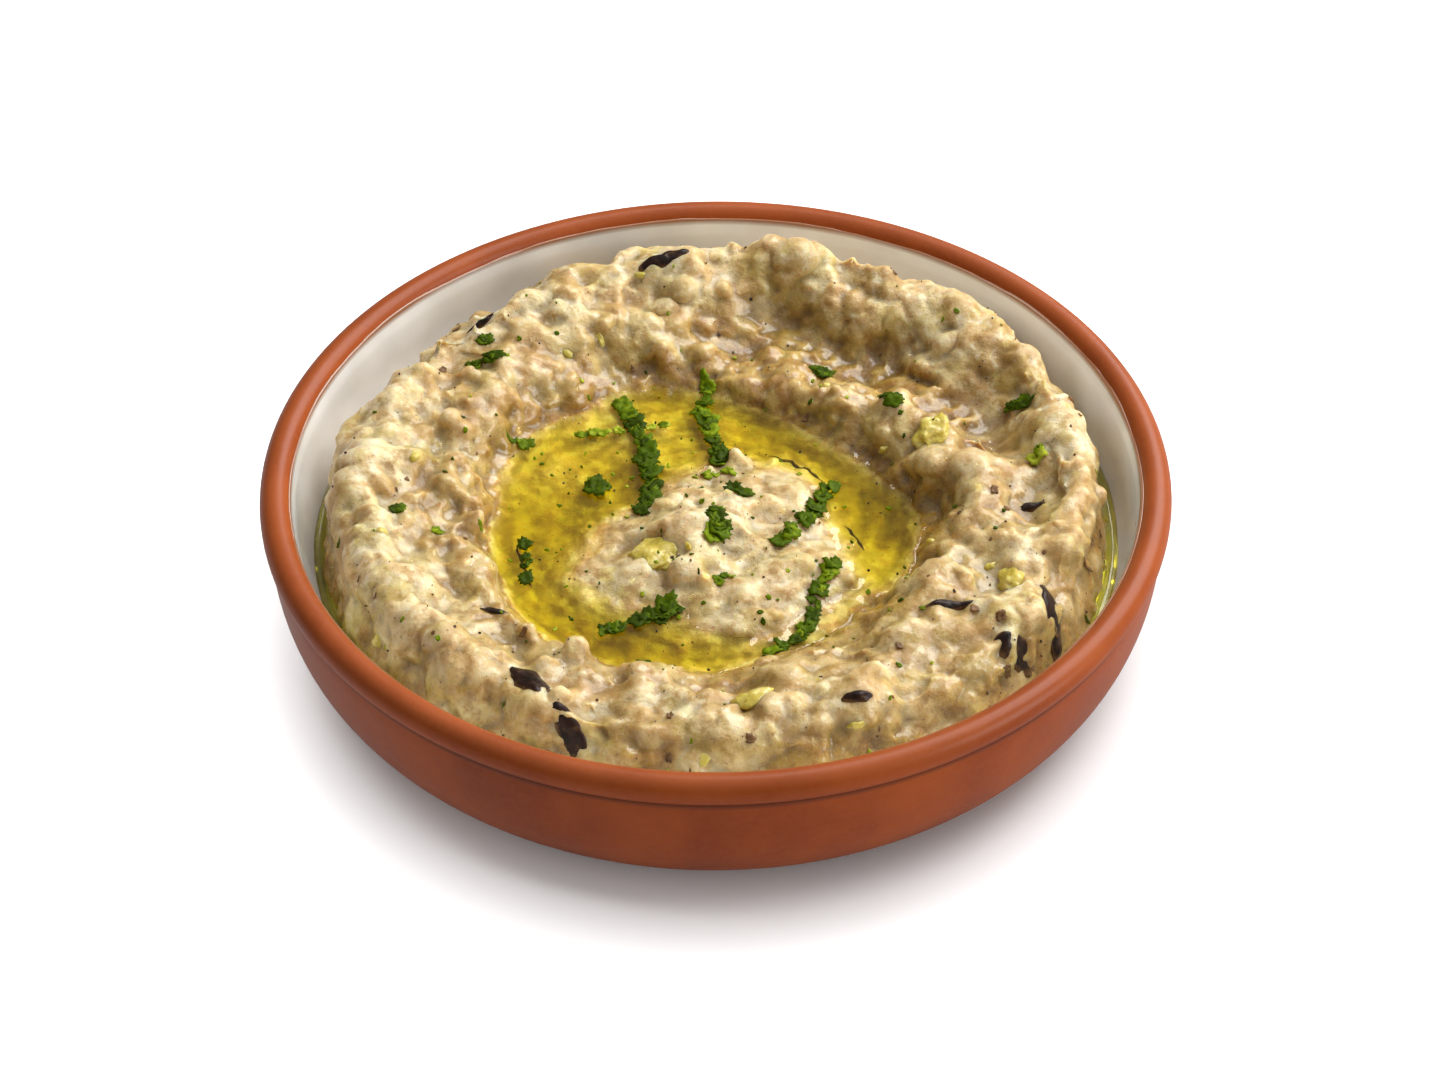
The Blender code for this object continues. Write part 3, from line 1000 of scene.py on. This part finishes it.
def make_chunk(name, ground, scrap, seed):
    """A soft chunk of flesh with a few lobes, half sunk into the dip."""
    x, y, length, width, height, turn = scrap
    points, faces = ball(4)
    turn = math.radians(turn)
    shift = Vector((seed * 5.1, 0.0, seed * 2.3))
    base = ground.soft_height(x * MM, y * MM, 2.0 * MM)
    normal = ground.normal(x * MM, y * MM, 3.0 * MM)
    tilt = Vector((0, 0, 1)).rotation_difference(normal).to_matrix()
    spin = Matrix.Rotation(turn, 3, "Z")
    placed = []
    for point in points:
        ray = Vector(point)
        lobes = 1 + 0.34 * noise.noise(ray * 1.7 + shift) + 0.16 * noise.noise(ray * 4.0 + shift)
        lobes += 0.07 * noise.noise(ray * 9.0 + shift)
        size = Vector((ray.x * length / 2, ray.y * width / 2, ray.z * height * 0.62)) * lobes
        placed.append(tilt @ (spin @ size) * MM + Vector((x * MM, y * MM, base - 0.1 * height * MM)))
    return mesh_object(name, placed, faces.tolist())


def make_bits(dip):
    """Small soft bits of flesh scattered over the dip."""
    rng = np.random.default_rng(5)
    places, normals = scatter_places(
        rng, dip, BITS, lambda places: np.where(places[:, 2] > OIL_LEVEL, 1.0, 0.1),
    )
    points, faces = ball(3)
    heap = Heap()
    for index, (place, normal) in enumerate(zip(places, normals)):
        size = rng.uniform(0.9, 2.0, 3) * MM * (1.0, 0.8, 0.45)
        turns = random_turns(rng, 1)[0]
        shift = Vector((index * 2.1, 0.0, 0.0))
        lobes = np.array([1 + 0.3 * noise.noise(Vector(point) * 1.6 + shift) for point in points])
        middle = place - normal * 0.6 * size.min()
        heap.add((points * lobes[:, None] * size) @ turns.T + middle, faces)
    return heap.piece("flesh_bits")


# ---------------------------------------------------------------- parsley and pepper

def leaf_shape(rng, ground, x, y, size, heading=None):
    """One crimped leaf fragment as points and faces, laid on what is below it."""
    spokes, rings = 22, 3
    lobes = rng.integers(3, 6)
    phase, lean = rng.uniform(0, math.tau, 2)
    stretch = rng.uniform(0.5, 0.95)
    spin = rng.uniform(0, math.tau) if heading is None else heading + rng.normal(0, 0.7)
    shift = Vector(rng.uniform(-50, 50, 3))
    centre = ground.height(x, y)
    tilt = rng.uniform(0.05, 0.35)
    tops, bottoms = [], []
    for spoke, angle, share in lens_spots(rings, spokes):
        frill = 0.66 + 0.34 * abs(math.sin(lobes * angle / 2 + phase)) ** 0.7
        frill += 0.09 * (1 if spoke % 2 else -1) + 0.12 * rng.uniform(-1, 1)
        if share < 1.0:
            frill = 0.4 * frill + 0.35
        u = math.cos(angle) * share * size * frill
        v = math.sin(angle) * share * size * frill * stretch
        px = x + u * math.cos(spin) - v * math.sin(spin)
        py = y + u * math.sin(spin) + v * math.cos(spin)
        here = ground.height(px, py)
        rest = max(0.45 * here + 0.55 * centre, here)
        crimp = 0.35 * noise.noise(Vector((px, py, 0.0)) / (0.9 * MM) + shift) * MM
        lift = 0.2 * MM + share * size * tilt * (1 + math.cos(angle - lean)) * 0.5
        top = rest + lift + share * crimp
        tops.append((px, py, top))
        bottoms.append((px, py, top - 0.22 * MM))
    return tops + bottoms, lens_faces(rings, spokes, walled=True)


def along_path(path, share):
    """A place on a path of points, by its share of the way."""
    lengths = [math.dist(a, b) for a, b in zip(path, path[1:])]
    left = share * sum(lengths)
    for (ax, ay), (bx, by), length in zip(path, path[1:], lengths):
        if left <= length or (bx, by) == path[-1]:
            part = min(left / max(length, 1e-9), 1.0)
            return ax + (bx - ax) * part, ay + (by - ay) * part
        left -= length
    return path[-1]


def make_parsley(ground):
    """Chopped parsley: crimped leaf fragments in short rows and clusters."""
    rng = np.random.default_rng(3)
    heap = Heap()
    for path, size, count, pale in SPRIGS:
        count = round(LEAF_CROWDING * count)
        for index in range(count):
            share = (index + rng.uniform(0.1, 0.9)) / count
            x, y = along_path(path, share)
            ahead = along_path(path, min(share + 0.1, 1.0))
            heading = math.atan2(ahead[1] - y, ahead[0] - x)
            x += rng.normal(0, 0.24 * size)
            y += rng.normal(0, 0.24 * size)
            tone = float(np.clip(pale + rng.uniform(-0.25, 0.4), 0, 1))
            leaf_size = size * rng.uniform(0.4, 1.0) * MM
            heap.add(*leaf_shape(rng, ground, x * MM, y * MM, leaf_size, heading), tone)
    return heap.piece("parsley_leaves", "tone")


def make_flecks(ground, dip):
    """The finest crumbs of parsley, thickest in the middle."""
    rng = np.random.default_rng(17)

    def weigh(places):
        from_middle = np.hypot(places[:, 0] + 4 * MM, places[:, 1]) / MM
        return 0.18 + 0.82 * np.exp(-(from_middle / 42) ** 4)

    heap = Heap()
    for x, y, _ in scatter_places(rng, dip, FLECKS, weigh)[0]:
        size = rng.uniform(0.22, 0.6) * MM
        tone = float(rng.random())
        heap.add(*leaf_shape(rng, ground, x, y, size), tone)
    return heap.piece("parsley_crumbs", "tone")


def make_crumbs(ground, dip):
    """Crumbs of charred skin all over the dip, few of them under the oil."""
    rng = np.random.default_rng(31)
    places, _ = scatter_places(
        rng, dip, CRUMBS, lambda places: np.where(places[:, 2] > OIL_LEVEL, 1.0, 0.15),
    )
    heap = Heap()
    for x, y, _ in places:
        size = (0.25 + 0.75 * rng.random() ** 2) * MM
        heap.add(*leaf_shape(rng, ground, x, y, size), 1.0)
    return heap.piece("skin_crumbs", "rim")


def make_pepper(ground, dip):
    """Coarsely ground pepper: small angular grains half sunk into the dip."""
    rng = np.random.default_rng(23)
    places, normals = scatter_places(rng, dip, GRAINS, lambda places: np.ones(len(places)))
    points, faces = ball(1)
    heap = Heap()
    for place, normal in zip(places, normals):
        top = ground.height(place[0], place[1])
        if top > place[2] + 0.4 * MM:
            place = np.array((place[0], place[1], top))
        size = rng.choice((0.12, 0.18, 0.28), p=(0.5, 0.35, 0.15)) * rng.uniform(0.8, 1.4) * MM
        chips = points * rng.uniform(0.55, 1.1, (len(points), 1))
        chips = (chips * (size * rng.uniform(0.6, 1.3, 3))) @ random_turns(rng, 1)[0].T
        heap.add(chips + place + normal * size * 0.35, faces)
    pepper = heap.piece("pepper_grains")
    pepper.data.shade_flat()
    return pepper


# ---------------------------------------------------------------- finishes

def earthenware_finish():
    material, shader = new_material("earthenware")
    coords = own_coords(shader)
    broad = noise_node(coords, 55.0, 3.0)
    fine = noise_node(coords, 900.0, 5.0)
    clay = ramp_node(broad, [(0.3, (0.29, 0.045, 0.004)), (0.7, (0.40, 0.073, 0.008))])
    clay = mix_colour(span_node(fine, 0.35, 0.75, 0.0, 0.3), clay, (0.42, 0.098, 0.018))
    height = height_of(coords)
    top = span_node(height, 32.5 * MM, 34.5 * MM, 0.0, 0.45)
    clay = mix_colour(top, clay, (0.25, 0.07, 0.022))
    # Painted shade: a dark band in the crease just under the lip
    below = span_node(height, 28.9 * MM, 29.7 * MM, 0.0, 0.7)
    crease_shade = maths("MULTIPLY", below, span_node(height, 29.9 * MM, 30.9 * MM, 1.0, 0.0))
    clay = mix_colour(crease_shade, clay, (0.08, 0.014, 0.002))
    set_inputs(shader, {
        "Base Color": clay, "Roughness": span_node(broad, 0.3, 0.7, 0.34, 0.44),
        "Specular IOR Level": 0.16, "Coat Weight": 0.06, "Coat Roughness": 0.22,
    })
    bump(shader, fine, 0.05 * MM)
    return material


def glaze_finish():
    material, shader = new_material("cream_glaze")
    coords = own_coords(shader)
    cloud = noise_node(coords, 90.0, 3.0)
    cream = ramp_node(cloud, [(0.3, (0.82, 0.81, 0.78)), (0.7, (0.88, 0.88, 0.86))])
    edge = span_node(height_of(coords), 32.2 * MM, 33.2 * MM)
    cream = mix_colour(edge, cream, (0.27, 0.11, 0.05))
    set_inputs(shader, {
        "Base Color": cream, "Roughness": 0.12, "Coat Weight": 0.4, "Coat Roughness": 0.05,
    })
    bump(shader, cloud, 0.12 * MM)
    return material


def dip_finish():
    material, shader = new_material("aubergine_dip")
    coords = own_coords(shader)
    crevice, oil_and_shade, sunk, streak = (
        attribute(shader, name) for name in ("crevice", "oil_and_shade", "sunk", "streak")
    )
    drift = noise_node(coords, 150.0, 4.0, 0.6)
    blotch = noise_node(coords, 260.0, 5.0, 0.65)
    strand = noise_node(coords, 620.0, 5.0, 0.7)
    grain = noise_node(coords, 1500.0, 4.0, 0.65)
    colour = ramp_node(attribute(shader, "tone"), [
        (0.0, (0.48, 0.31, 0.10)),
        (0.25, (0.61, 0.43, 0.17)),
        (0.55, (0.71, 0.55, 0.27)),
        (0.88, (0.78, 0.66, 0.39)),
        (1.0, (0.64, 0.52, 0.15)),
    ])
    for pattern, low, high, most, patch in (
        (drift, 0.47, 0.38, 0.5, (0.60, 0.36, 0.14)),       # warm
        (blotch, 0.51, 0.61, 0.8, (0.44, 0.26, 0.07)),      # tan
        (blotch, 0.48, 0.38, 0.8, (0.77, 0.66, 0.42)),      # cream
        (drift, 0.53, 0.62, 0.6, (0.52, 0.39, 0.10)),       # olive
        (strand, 0.59, 0.69, 0.65, (0.27, 0.15, 0.04)),     # dark flecks
    ):
        colour = mix_colour(span_node(pattern, low, high, 0.0, most), colour, patch)
    # Painted shade in the crevices, together with the brown juices and oil that gather there
    hollow_shade = span_node(crevice, 0.47, 0.85, 0.0, 0.6)
    soaked_shade = maths("MULTIPLY", oil_and_shade, span_node(crevice, 0.5, 0.75, 0.0, 0.6))
    hollow_shade = maths("MAXIMUM", hollow_shade, soaked_shade)
    colour = mix_colour(hollow_shade, colour, (0.20, 0.11, 0.02))
    # Painted light: the lumps' crowns are made paler
    colour = mix_colour(span_node(crevice, 0.42, 0.1, 0.0, 0.2), colour, (0.81, 0.71, 0.46))
    colour = mix_colour(maths("MULTIPLY", sunk, 0.4), colour, (0.54, 0.44, 0.20))
    colour = mix_colour(maths("MULTIPLY", streak, 0.75), colour, (0.30, 0.19, 0.04))
    # Darker by the oil's tint, and by painted shade on the ring's inner slopes and towards the
    # dish's wall
    colour = mix_colour(oil_and_shade, colour, (0.66, 0.52, 0.18), "MULTIPLY")
    wet = maths("MULTIPLY", oil_and_shade, -0.2)
    dull = maths("ADD", span_node(strand, 0.35, 0.65, 0.36, 0.6), wet)
    film = span_node(blotch, 0.42, 0.6, 0.4, 0.05)
    sheen = maths("ADD", film, maths("MULTIPLY", oil_and_shade, 0.5))
    set_inputs(shader, {
        "Base Color": colour, "Roughness": dull, "Coat Weight": sheen,
        "Specular IOR Level": 0.45, "Subsurface Weight": 0.78,
        "Subsurface Radius": (1.0, 0.66, 0.3), "Subsurface Scale": 3.4 * MM,
        "Coat Roughness": 0.08,
    })
    relief = maths("ADD", strand, maths("MULTIPLY", grain, 0.4))
    bump(shader, relief, 0.4 * MM)
    return material


def oil_finish():
    """Clear to the lamps, and golden by its depth."""
    material, shader = new_material("golden_oil")
    set_inputs(shader, {
        "Base Color": (1.0, 1.0, 1.0), "Transmission Weight": 1.0, "Roughness": 0.02,
        "IOR": 1.47, "Metallic": 0.0,
    })
    clear = new_node(shader, "ShaderNodeBsdfTransparent", {"Color": (1.0, 1.0, 1.0)})
    path = new_node(shader, "ShaderNodeLightPath")
    mixed = new_node(shader, "ShaderNodeMixShader", {
        0: path.outputs["Is Shadow Ray"], 1: shader.outputs[0], 2: clear.outputs[0],
    })
    body = new_node(shader, "ShaderNodeVolumeAbsorption", {
        "Color": (0.90, 0.872, 0.07), "Density": 640.0,
    })
    set_inputs(material.node_tree.nodes["Material Output"], {
        "Surface": mixed.outputs[0], "Volume": body.outputs[0],
    })
    return material


def skin_finish():
    material, shader = new_material("charred_skin")
    coords = own_coords(shader)
    patches = noise_node(coords, 420.0, 4.0)
    grain = noise_node(coords, 1500.0, 4.0)
    char = ramp_node(patches, [
        (0.38, (0.010, 0.004, 0.002)), (0.56, (0.026, 0.010, 0.005)), (0.74, (0.12, 0.06, 0.02)),
    ])
    rim = maths("MULTIPLY", span_node(attribute(shader, "rim"), 0.6, 1.0), patches)
    char = mix_colour(span_node(rim, 0.2, 0.5, 0.0, 0.8), char, (0.22, 0.11, 0.04))
    set_inputs(shader, {
        "Base Color": char, "Roughness": span_node(grain, 0.3, 0.7, 0.35, 0.6),
        "Specular IOR Level": 0.12, "Coat Weight": 0.15, "Coat Roughness": 0.07,
    })
    bump(shader, grain, 0.15 * MM)
    return material


def flesh_finish():
    material, shader = new_material("soft_flesh")
    coords = own_coords(shader)
    patches = noise_node(coords, 330.0, 4.0)
    grain = noise_node(coords, 1300.0, 3.0)
    flesh = ramp_node(patches, [
        (0.32, (0.42, 0.32, 0.035)), (0.5, (0.60, 0.47, 0.07)), (0.68, (0.71, 0.58, 0.18)),
    ])
    set_inputs(shader, {
        "Base Color": flesh, "Roughness": 0.3, "Subsurface Weight": 0.5,
        "Subsurface Radius": (1.0, 0.7, 0.25), "Subsurface Scale": 2.0 * MM, "Coat Weight": 0.3,
        "Coat Roughness": 0.1,
    })
    bump(shader, maths("ADD", patches, maths("MULTIPLY", grain, 0.4)), 0.5 * MM)
    return material


def parsley_finish():
    material, shader = new_material("parsley_leaf")
    coords = own_coords(shader)
    mottle = noise_node(coords, 900.0, 3.0)
    tone = maths("ADD", attribute(shader, "tone"), span_node(mottle, 0.3, 0.7, -0.2, 0.2))
    green = ramp_node(tone, [
        (0.0, (0.025, 0.043, 0.001)), (0.35, (0.056, 0.094, 0.001)),
        (0.7, (0.16, 0.22, 0.004)), (1.0, (0.36, 0.39, 0.03)),
    ])
    set_inputs(shader, {
        "Base Color": green, "Roughness": 0.5, "Specular IOR Level": 0.1,
        "Specular Tint": (0.8, 1.0, 0.3), "Subsurface Weight": 0.15,
        "Subsurface Radius": (0.4, 1.0, 0.2), "Subsurface Scale": 0.5 * MM,
    })
    bump(shader, mottle, 0.1 * MM)
    return material


def pepper_finish():
    material, shader = new_material("ground_pepper")
    coords = own_coords(shader)
    mottle = noise_node(coords, 700.0, 2.0)
    dark = ramp_node(mottle, [
        (0.35, (0.012, 0.007, 0.003)), (0.55, (0.06, 0.03, 0.01)), (0.7, (0.16, 0.085, 0.03)),
    ])
    set_inputs(shader, {
        "Base Color": dark, "Roughness": 0.6,
    })
    return material


def floor_finish():
    """White paper; what it throws back onto the dish is held down a little."""
    material, shader = new_material("studio_floor")
    path = new_node(shader, "ShaderNodeLightPath")
    paper = mix_colour(path.outputs["Is Camera Ray"], (0.35, 0.35, 0.35), (0.92, 0.92, 0.92))
    set_inputs(shader, {
        "Base Color": paper, "Roughness": 0.9, "Specular IOR Level": 0.0,
    })
    return material


# ---------------------------------------------------------------- studio

def add_floor():
    half = FLOOR_SIZE / 2
    corners = [(-half, -half, 0.0), (half, -half, 0.0), (half, half, 0.0), (-half, half, 0.0)]
    floor = mesh_object("floor", corners, [(0, 1, 2, 3)])
    floor.data.materials.append(floor_finish())
    return floor


def aimed(item, target):
    item.rotation_euler = (target - item.location).to_track_quat("-Z", "Y").to_euler()


def add_softbox(name, azimuth, elevation, distance, size, power):
    """An area light; azimuth 0 is behind the dish as the camera sees it, 90 on its right."""
    data = bpy.data.lights.new(name, "AREA")
    data.size = size
    data.energy = power
    light = bpy.data.objects.new(name, data)
    bpy.context.scene.collection.objects.link(light)
    turn, lift = math.radians(azimuth), math.radians(elevation)
    light.location = AIM + distance * Vector((
        math.sin(turn) * math.cos(lift), math.cos(turn) * math.cos(lift), math.sin(lift),
    ))
    aimed(light, AIM)
    return light


def light_only(light, item, state):
    """Makes a light fall on one thing only, or on everything but that thing."""
    group = bpy.data.collections.new(f"{light.name}_{state.lower()}")
    group.objects.link(item)
    light.light_linking.receiver_collection = group
    group.collection_objects[0].light_linking.link_state = state


def add_camera():
    data = bpy.data.cameras.new("camera")
    data.lens = CAMERA_LENS
    data.sensor_width = 36.0
    data.clip_start = 0.01
    camera = bpy.data.objects.new("camera", data)
    bpy.context.scene.collection.objects.link(camera)
    lift = math.radians(CAMERA_ELEVATION)
    camera.location = AIM + CAMERA_DISTANCE * Vector((0.0, -math.cos(lift), math.sin(lift)))
    aimed(camera, AIM)
    camera.rotation_euler.rotate_axis("Z", math.radians(CAMERA_ROLL))
    bpy.context.scene.camera = camera


def add_sky():
    """A white sky, brighter towards its top."""
    world = bpy.data.worlds.new("studio")
    bpy.context.scene.world = world
    world.use_nodes = True
    sky = world.node_tree.nodes["Background"]
    way = new_node(sky, "ShaderNodeTexCoord").outputs["Generated"]
    up = maths("POWER", maths("MAXIMUM", height_of(way), 0.0), 3.0)
    set_inputs(sky, {"Color": (1.0, 1.0, 1.0), "Strength": span_node(up, 0.0, 1.0, 0.1, 0.76)})


def add_studio(floor, glaze):
    add_camera()
    add_sky()
    lit = {"floor": floor, "glaze": glaze}
    for *placing, what, state in SOFTBOXES:
        light_only(add_softbox(*placing), lit[what], state)
    bpy.context.scene.view_settings.view_transform = "Standard"


# ---------------------------------------------------------------- build

def main():
    finish_piece(make_dish(), "earthenware", earthenware_finish(), "dish")
    glaze = make_glaze()
    finish_piece(glaze, "cream_glaze", glaze_finish())
    add_studio(add_floor(), glaze)
    dip = make_dip()
    finish_piece(dip, "aubergine_puree", dip_finish(), "dip")
    oil = make_oil(dip)
    golden = oil_finish()
    finish_piece(oil, "olive_oil", golden, "olive_oil")
    finish_piece(make_seep(), "olive_oil", golden)

    base = Ground(dip)
    char, flesh = skin_finish(), flesh_finish()
    tops = [dip, oil]
    for scraps, make, name, slot, look, node in (
        (SKINS, make_flake, "skin_scrap", "charred_skin", char, "charred_skin"),
        (CHUNKS, make_chunk, "flesh_chunk", "soft_aubergine", flesh, "aubergine_chunk"),
    ):
        for number, scrap in enumerate(scraps, 1):
            piece = make(f"{name}_{number}", base, scrap, number)
            finish_piece(piece, slot, look, f"{node}_{number}")
            tops.append(piece)
    finish_piece(make_threads(base), "charred_skin", char)
    bits = make_bits(dip)
    finish_piece(bits, "soft_aubergine", flesh)

    ground = Ground(*tops, bits)
    leaf = parsley_finish()
    finish_piece(make_parsley(ground), "parsley", leaf)
    finish_piece(make_flecks(ground, dip), "parsley", leaf)
    finish_piece(make_crumbs(ground, dip), "charred_skin", char)
    finish_piece(make_pepper(ground, dip), "ground_pepper", pepper_finish())
    finish_piece(make_beads(dip), "olive_oil", golden)


main()
